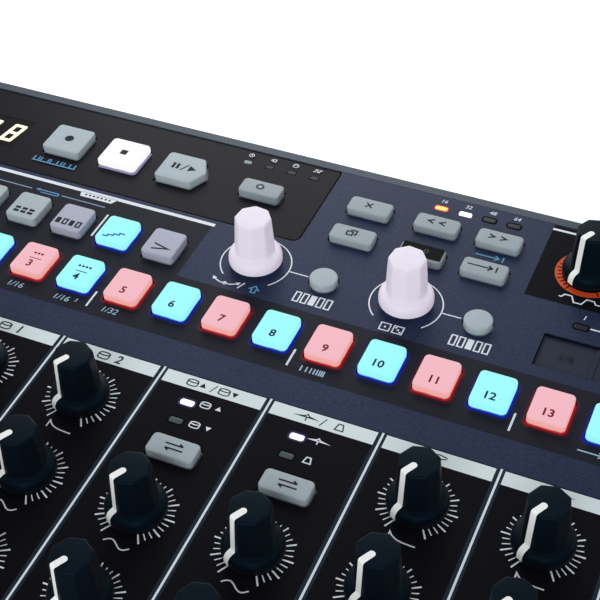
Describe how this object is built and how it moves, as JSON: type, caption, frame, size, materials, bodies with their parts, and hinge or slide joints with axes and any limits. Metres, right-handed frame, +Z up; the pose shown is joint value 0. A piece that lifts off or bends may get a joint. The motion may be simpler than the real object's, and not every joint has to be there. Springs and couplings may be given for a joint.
{
  "type": "drum machine",
  "caption": "Sloping desktop drum machine with a lit step-key row, transport keys, encoders, instrument knobs in columns, front pads and rear sockets.",
  "frame": {"origin": "on the table under the middle of the case", "axes": "+X to the player's right, +Y away from the player towards the sockets, +Z up"},
  "size_m": [0.336, 0.2421, 0.06],
  "materials": {
    "case_plastic": "fine moulded texture",
    "panel_paint": "fine textured satin paint",
    "black_plate": "satin black",
    "circuit_board": "solder mask",
    "steel": "nickel plated",
    "clear_window": "milky light pipe",
    "socket_plastic": "moulded",
    "foot_rubber": "matt",
    "white_knob": "satin white",
    "dark_knob": "soft-touch dark blue-black",
    "pad_rubber": "matt grey silicone",
    "grey_silicone": "matt silicone",
    "step_silicone": "translucent silicone, back-lit",
    "lit_silicone": "translucent silicone, back-lit white"
  },
  "bodies": {
    "root": {"bottom_case": "case_plastic", "top_panel": "panel_paint", "display_plate": "black_plate", "control_board": "circuit_board", "potentiometers": "steel", "touch_strip": "black_plate", "light_windows": "clear_window", "rear_sockets": "socket_plastic", "rubber_feet": "foot_rubber", "case_screws": "steel"},
    "tempo_knob": {"tempo_knob": "white_knob"},
    "swing_knob": {"swing_knob": "white_knob"},
    "random_knob": {"random_knob": "white_knob"},
    "distortion_knob": {"distortion_knob": "dark_knob"},
    "volume_knob": {"volume_knob": "dark_knob"},
    "track1_knob_a": {"track1_knob_a": "dark_knob"},
    "track1_knob_b": {"track1_knob_b": "dark_knob"},
    "track1_knob_c": {"track1_knob_c": "dark_knob"},
    "track2_knob_a": {"track2_knob_a": "dark_knob"},
    "track2_knob_b": {"track2_knob_b": "dark_knob"},
    "track2_knob_c": {"track2_knob_c": "dark_knob"},
    "track3_knob_a": {"track3_knob_a": "dark_knob"},
    "track3_knob_b": {"track3_knob_b": "dark_knob"},
    "track3_knob_c": {"track3_knob_c": "dark_knob"},
    "track4_knob_b": {"track4_knob_b": "dark_knob"},
    "track4_knob_c": {"track4_knob_c": "dark_knob"},
    "track5_knob_b": {"track5_knob_b": "dark_knob"},
    "track5_knob_c": {"track5_knob_c": "dark_knob"},
    "track6_knob_a": {"track6_knob_a": "dark_knob"},
    "track6_knob_b": {"track6_knob_b": "dark_knob"},
    "track6_knob_c": {"track6_knob_c": "dark_knob"},
    "track7_knob_a": {"track7_knob_a": "dark_knob"},
    "track7_knob_b": {"track7_knob_b": "dark_knob"},
    "track7_knob_c": {"track7_knob_c": "dark_knob"},
    "track8_knob_a": {"track8_knob_a": "dark_knob"},
    "track8_knob_b": {"track8_knob_b": "dark_knob"},
    "track8_knob_c": {"track8_knob_c": "dark_knob"},
    "step_keys_1_4": {"step_keys_1_4": "step_silicone"},
    "step_keys_5_8": {"step_keys_5_8": "step_silicone"},
    "step_keys_9_12": {"step_keys_9_12": "step_silicone"},
    "step_keys_13_16": {"step_keys_13_16": "step_silicone"},
    "record_key": {"record_key": "grey_silicone"},
    "stop_key": {"stop_key": "lit_silicone"},
    "play_key": {"play_key": "grey_silicone"},
    "mode_keys": {"mode_keys": "grey_silicone"},
    "edit_keys": {"edit_keys": "grey_silicone"},
    "track_keys": {"track_keys": "grey_silicone"},
    "type_keys": {"type_keys": "grey_silicone"},
    "tempo_keys": {"tempo_keys": "grey_silicone"},
    "pad_1": {"pad_1": "pad_rubber"},
    "pad_2": {"pad_2": "pad_rubber"},
    "pad_3": {"pad_3": "pad_rubber"},
    "pad_4": {"pad_4": "pad_rubber"},
    "pad_5": {"pad_5": "pad_rubber"},
    "pad_6": {"pad_6": "pad_rubber"},
    "pad_7": {"pad_7": "pad_rubber"},
    "pad_8": {"pad_8": "pad_rubber"},
    "pad_9": {"pad_9": "pad_rubber"},
    "pad_10": {"pad_10": "pad_rubber"},
    "power_switch": {"power_switch": "socket_plastic"}
  },
  "joints": [
    {"name": "tempo_turn", "type": "hinge", "parent": "root", "child": "tempo_knob", "pos_m": [-0.1459, 0.06031, 0.03838], "axis": [0, -0.0593, 0.9982], "continuous": true},
    {"name": "swing_turn", "type": "hinge", "parent": "root", "child": "swing_knob", "pos_m": [-0.01202, 0.06031, 0.03838], "axis": [0, -0.0593, 0.9982], "continuous": true},
    {"name": "random_turn", "type": "hinge", "parent": "root", "child": "random_knob", "pos_m": [0.04189, 0.06031, 0.03838], "axis": [0, -0.0593, 0.9982], "continuous": true},
    {"name": "distortion_turn", "type": "hinge", "parent": "root", "child": "distortion_knob", "pos_m": [0.09339, 0.09554, 0.04048], "axis": [0, -0.0593, 0.9982], "range_deg": [-300, 0]},
    {"name": "volume_turn", "type": "hinge", "parent": "root", "child": "volume_knob", "pos_m": [0.13869, 0.09495, 0.04044], "axis": [0, -0.0593, 0.9982], "range_deg": [-300, 0]},
    {"name": "track1_a_turn", "type": "hinge", "parent": "root", "child": "track1_knob_a", "pos_m": [-0.1094, -0.01519, 0.0339], "axis": [0, -0.0593, 0.9982], "range_deg": [-300, 0]},
    {"name": "track1_b_turn", "type": "hinge", "parent": "root", "child": "track1_knob_b", "pos_m": [-0.1094, -0.04663, 0.03203], "axis": [0, -0.0593, 0.9982], "range_deg": [-300, 0]},
    {"name": "track1_c_turn", "type": "hinge", "parent": "root", "child": "track1_knob_c", "pos_m": [-0.1094, -0.07808, 0.03016], "axis": [0, -0.0593, 0.9982], "range_deg": [-300, 0]},
    {"name": "track2_a_turn", "type": "hinge", "parent": "root", "child": "track2_knob_a", "pos_m": [-0.0729, -0.01519, 0.0339], "axis": [0, -0.0593, 0.9982], "range_deg": [-300, 0]},
    {"name": "track2_b_turn", "type": "hinge", "parent": "root", "child": "track2_knob_b", "pos_m": [-0.0729, -0.04663, 0.03203], "axis": [0, -0.0593, 0.9982], "range_deg": [-300, 0]},
    {"name": "track2_c_turn", "type": "hinge", "parent": "root", "child": "track2_knob_c", "pos_m": [-0.0729, -0.07808, 0.03016], "axis": [0, -0.0593, 0.9982], "range_deg": [-300, 0]},
    {"name": "track3_a_turn", "type": "hinge", "parent": "root", "child": "track3_knob_a", "pos_m": [-0.0364, -0.01519, 0.0339], "axis": [0, -0.0593, 0.9982], "range_deg": [-300, 0]},
    {"name": "track3_b_turn", "type": "hinge", "parent": "root", "child": "track3_knob_b", "pos_m": [-0.0364, -0.04663, 0.03203], "axis": [0, -0.0593, 0.9982], "range_deg": [-300, 0]},
    {"name": "track3_c_turn", "type": "hinge", "parent": "root", "child": "track3_knob_c", "pos_m": [-0.0364, -0.07808, 0.03016], "axis": [0, -0.0593, 0.9982], "range_deg": [-300, 0]},
    {"name": "track4_b_turn", "type": "hinge", "parent": "root", "child": "track4_knob_b", "pos_m": [0.0001, -0.04663, 0.03203], "axis": [0, -0.0593, 0.9982], "range_deg": [-300, 0]},
    {"name": "track4_c_turn", "type": "hinge", "parent": "root", "child": "track4_knob_c", "pos_m": [0.0001, -0.07808, 0.03016], "axis": [0, -0.0593, 0.9982], "range_deg": [-300, 0]},
    {"name": "track5_b_turn", "type": "hinge", "parent": "root", "child": "track5_knob_b", "pos_m": [0.0366, -0.04663, 0.03203], "axis": [0, -0.0593, 0.9982], "range_deg": [-300, 0]},
    {"name": "track5_c_turn", "type": "hinge", "parent": "root", "child": "track5_knob_c", "pos_m": [0.0366, -0.07808, 0.03016], "axis": [0, -0.0593, 0.9982], "range_deg": [-300, 0]},
    {"name": "track6_a_turn", "type": "hinge", "parent": "root", "child": "track6_knob_a", "pos_m": [0.0731, -0.01519, 0.0339], "axis": [0, -0.0593, 0.9982], "range_deg": [-300, 0]},
    {"name": "track6_b_turn", "type": "hinge", "parent": "root", "child": "track6_knob_b", "pos_m": [0.0731, -0.04663, 0.03203], "axis": [0, -0.0593, 0.9982], "range_deg": [-300, 0]},
    {"name": "track6_c_turn", "type": "hinge", "parent": "root", "child": "track6_knob_c", "pos_m": [0.0731, -0.07808, 0.03016], "axis": [0, -0.0593, 0.9982], "range_deg": [-300, 0]},
    {"name": "track7_a_turn", "type": "hinge", "parent": "root", "child": "track7_knob_a", "pos_m": [0.1096, -0.01519, 0.0339], "axis": [0, -0.0593, 0.9982], "range_deg": [-300, 0]},
    {"name": "track7_b_turn", "type": "hinge", "parent": "root", "child": "track7_knob_b", "pos_m": [0.1096, -0.04663, 0.03203], "axis": [0, -0.0593, 0.9982], "range_deg": [-300, 0]},
    {"name": "track7_c_turn", "type": "hinge", "parent": "root", "child": "track7_knob_c", "pos_m": [0.1096, -0.07808, 0.03016], "axis": [0, -0.0593, 0.9982], "range_deg": [-300, 0]},
    {"name": "track8_a_turn", "type": "hinge", "parent": "root", "child": "track8_knob_a", "pos_m": [0.1461, -0.01519, 0.0339], "axis": [0, -0.0593, 0.9982], "range_deg": [-300, 0]},
    {"name": "track8_b_turn", "type": "hinge", "parent": "root", "child": "track8_knob_b", "pos_m": [0.1461, -0.04663, 0.03203], "axis": [0, -0.0593, 0.9982], "range_deg": [-300, 0]},
    {"name": "track8_c_turn", "type": "hinge", "parent": "root", "child": "track8_knob_c", "pos_m": [0.1461, -0.07808, 0.03016], "axis": [0, -0.0593, 0.9982], "range_deg": [-300, 0]},
    {"name": "step_keys_1_4_press", "type": "slide", "parent": "root", "child": "step_keys_1_4", "axis": [0, 0.0593, -0.9982], "range_m": [0, 0.0012], "stiffness_N_per_m": 400, "springref_m": -0.001},
    {"name": "step_keys_5_8_press", "type": "slide", "parent": "root", "child": "step_keys_5_8", "axis": [0, 0.0593, -0.9982], "range_m": [0, 0.0012], "stiffness_N_per_m": 400, "springref_m": -0.001},
    {"name": "step_keys_9_12_press", "type": "slide", "parent": "root", "child": "step_keys_9_12", "axis": [0, 0.0593, -0.9982], "range_m": [0, 0.0012], "stiffness_N_per_m": 400, "springref_m": -0.001},
    {"name": "step_keys_13_16_press", "type": "slide", "parent": "root", "child": "step_keys_13_16", "axis": [0, 0.0593, -0.9982], "range_m": [0, 0.0012], "stiffness_N_per_m": 400, "springref_m": -0.001},
    {"name": "record_key_press", "type": "slide", "parent": "root", "child": "record_key", "axis": [0, 0.0593, -0.9982], "range_m": [0, 0.0012], "stiffness_N_per_m": 400, "springref_m": -0.001},
    {"name": "stop_key_press", "type": "slide", "parent": "root", "child": "stop_key", "axis": [0, 0.0593, -0.9982], "range_m": [0, 0.0012], "stiffness_N_per_m": 400, "springref_m": -0.001},
    {"name": "play_key_press", "type": "slide", "parent": "root", "child": "play_key", "axis": [0, 0.0593, -0.9982], "range_m": [0, 0.0012], "stiffness_N_per_m": 400, "springref_m": -0.001},
    {"name": "mode_keys_press", "type": "slide", "parent": "root", "child": "mode_keys", "axis": [0, 0.0593, -0.9982], "range_m": [0, 0.0012], "stiffness_N_per_m": 400, "springref_m": -0.001},
    {"name": "edit_keys_press", "type": "slide", "parent": "root", "child": "edit_keys", "axis": [0, 0.0593, -0.9982], "range_m": [0, 0.0012], "stiffness_N_per_m": 400, "springref_m": -0.001},
    {"name": "track_keys_press", "type": "slide", "parent": "root", "child": "track_keys", "axis": [0, 0.0593, -0.9982], "range_m": [0, 0.0012], "stiffness_N_per_m": 400, "springref_m": -0.001},
    {"name": "type_keys_press", "type": "slide", "parent": "root", "child": "type_keys", "axis": [0, 0.0593, -0.9982], "range_m": [0, 0.0012], "stiffness_N_per_m": 400, "springref_m": -0.001},
    {"name": "tempo_keys_press", "type": "slide", "parent": "root", "child": "tempo_keys", "axis": [0, 0.0593, -0.9982], "range_m": [0, 0.0012], "stiffness_N_per_m": 400, "springref_m": -0.001},
    {"name": "pad_1_press", "type": "slide", "parent": "root", "child": "pad_1", "axis": [0, 0.0593, -0.9982], "range_m": [0, 0.0008], "stiffness_N_per_m": 2000, "springref_m": -0.0005},
    {"name": "pad_2_press", "type": "slide", "parent": "root", "child": "pad_2", "axis": [0, 0.0593, -0.9982], "range_m": [0, 0.0008], "stiffness_N_per_m": 2000, "springref_m": -0.0005},
    {"name": "pad_3_press", "type": "slide", "parent": "root", "child": "pad_3", "axis": [0, 0.0593, -0.9982], "range_m": [0, 0.0008], "stiffness_N_per_m": 2000, "springref_m": -0.0005},
    {"name": "pad_4_press", "type": "slide", "parent": "root", "child": "pad_4", "axis": [0, 0.0593, -0.9982], "range_m": [0, 0.0008], "stiffness_N_per_m": 2000, "springref_m": -0.0005},
    {"name": "pad_5_press", "type": "slide", "parent": "root", "child": "pad_5", "axis": [0, 0.0593, -0.9982], "range_m": [0, 0.0008], "stiffness_N_per_m": 2000, "springref_m": -0.0005},
    {"name": "pad_6_press", "type": "slide", "parent": "root", "child": "pad_6", "axis": [0, 0.0593, -0.9982], "range_m": [0, 0.0008], "stiffness_N_per_m": 2000, "springref_m": -0.0005},
    {"name": "pad_7_press", "type": "slide", "parent": "root", "child": "pad_7", "axis": [0, 0.0593, -0.9982], "range_m": [0, 0.0008], "stiffness_N_per_m": 2000, "springref_m": -0.0005},
    {"name": "pad_8_press", "type": "slide", "parent": "root", "child": "pad_8", "axis": [0, 0.0593, -0.9982], "range_m": [0, 0.0008], "stiffness_N_per_m": 2000, "springref_m": -0.0005},
    {"name": "pad_9_press", "type": "slide", "parent": "root", "child": "pad_9", "axis": [0, 0.0593, -0.9982], "range_m": [0, 0.0008], "stiffness_N_per_m": 2000, "springref_m": -0.0005},
    {"name": "pad_10_press", "type": "slide", "parent": "root", "child": "pad_10", "axis": [0, 0.0593, -0.9982], "range_m": [0, 0.0008], "stiffness_N_per_m": 2000, "springref_m": -0.0005},
    {"name": "power_tip", "type": "hinge", "parent": "root", "child": "power_switch", "pos_m": [-0.108, 0.1152, 0.0185], "axis": [1, 0, 0], "range_deg": [-14, 0]}
  ]
}
